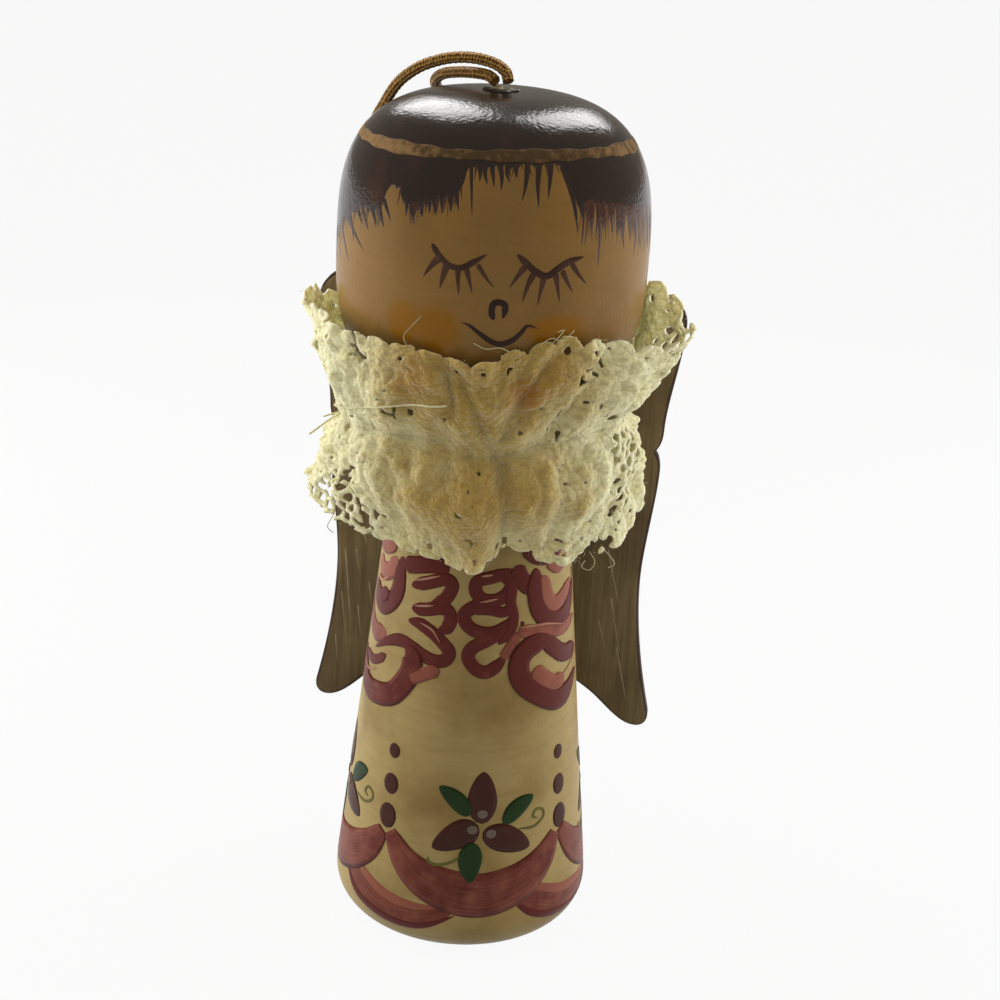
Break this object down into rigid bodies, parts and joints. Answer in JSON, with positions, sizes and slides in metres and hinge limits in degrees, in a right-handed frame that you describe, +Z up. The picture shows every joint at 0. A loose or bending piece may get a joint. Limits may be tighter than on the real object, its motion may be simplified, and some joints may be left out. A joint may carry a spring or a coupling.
{
  "type": "peg doll angel",
  "caption": "Small turned wooden peg doll dressed as an angel, with a painted skirt and head, a flat wing panel, a gathered lace collar and a cord loop to hang it by.",
  "frame": {"origin": "centre of the flat foot of the skirt, where the doll stands", "axes": "+Z up along the axis of the turned skirt and head, -Y towards the side that the face looks to, +X to the right of a viewer who faces the doll"},
  "size_m": [0.0415, 0.0369, 0.0952],
  "materials": {
    "skirt_paint": "cream paint, satin",
    "face_paint": "tan and black paint, gloss",
    "bare_wood": "bare",
    "wing_paint": "dark paint with pale streaks",
    "lace": "open cotton lace",
    "thread": "twisted cotton",
    "gold_cord": "twisted metallic",
    "glue": "satin"
  },
  "bodies": {
    "doll": {"skirt": "skirt_paint", "head": "face_paint", "neck_dowel": "bare_wood", "wing_panel": "wing_paint", "lace_collar": "lace", "gathering_thread": "thread", "cord_ends": "gold_cord", "cord_glue": "glue"},
    "loop": {"hanging_loop": "gold_cord"}
  },
  "joints": [
    {"name": "loop_swing", "type": "hinge", "parent": "doll", "child": "loop", "pos_m": [0, 0, 0.0927], "axis": [1, 0, 0], "range_deg": [0, 100]}
  ]
}
